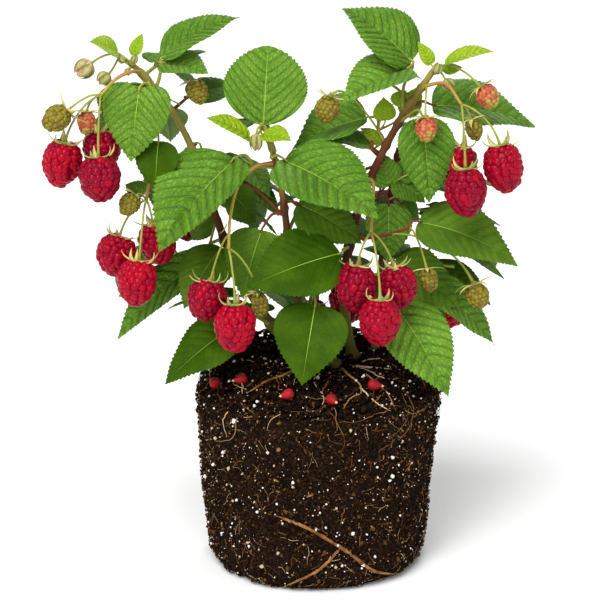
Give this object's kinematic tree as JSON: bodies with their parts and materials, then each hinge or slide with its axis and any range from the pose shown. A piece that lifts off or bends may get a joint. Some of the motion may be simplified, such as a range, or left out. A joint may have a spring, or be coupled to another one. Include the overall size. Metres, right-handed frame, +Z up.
{
  "type": "raspberry plant on its root ball",
  "caption": "Compact raspberry plant with leafy canes and hanging trusses of ripe and unripe berries, standing on a bare cylindrical root ball.",
  "frame": {"origin": "centre of the flat underside of the root ball", "axes": "+Z up along the plant, -Y towards the side with most fruit, +X to the right seen from that side"},
  "size_m": [0.2965, 0.2065, 0.3435],
  "materials": {
    "soil": "matte",
    "bark": "matte",
    "leaf": "matte",
    "fruit": "satin"
  },
  "bodies": {
    "root": {"root_ball": "soil", "cane_left": "bark", "cane_centre": "bark", "cane_right": "bark", "cane_rear": "bark", "left_crown": "fruit", "left_top_leaves": "leaf", "left_front_leaves": "leaf", "left_upper_truss": "fruit", "left_bud_spray": "leaf", "left_mid_spray": "fruit", "left_low_leaves": "leaf", "left_base_leaf": "leaf", "centre_crown": "leaf", "centre_left_leaf": "leaf", "centre_right_leaf": "leaf", "centre_truss": "fruit", "centre_mid_leaves": "leaf", "centre_front_leaf": "leaf", "right_front_leaf": "leaf", "right_crown": "fruit", "right_top_leaves": "leaf", "right_upper_truss": "fruit", "right_side_leaf": "leaf", "right_hanging_leaf": "leaf", "right_inner_leaves": "leaf", "right_mid_leaves": "leaf", "right_wing": "fruit", "right_low_truss": "fruit", "right_low_leaves": "leaf", "rear_left_low": "leaf", "rear_left_side": "leaf", "rear_left_mid": "leaf", "rear_left_upper": "leaf", "rear_left_top": "leaf", "rear_middle_low": "fruit", "rear_middle_high": "leaf", "rear_centre_top": "leaf", "rear_right_low": "fruit", "rear_right_side": "leaf", "rear_right_mid": "leaf", "rear_right_high": "leaf", "rear_right_top": "leaf"}
  },
  "joints": []
}
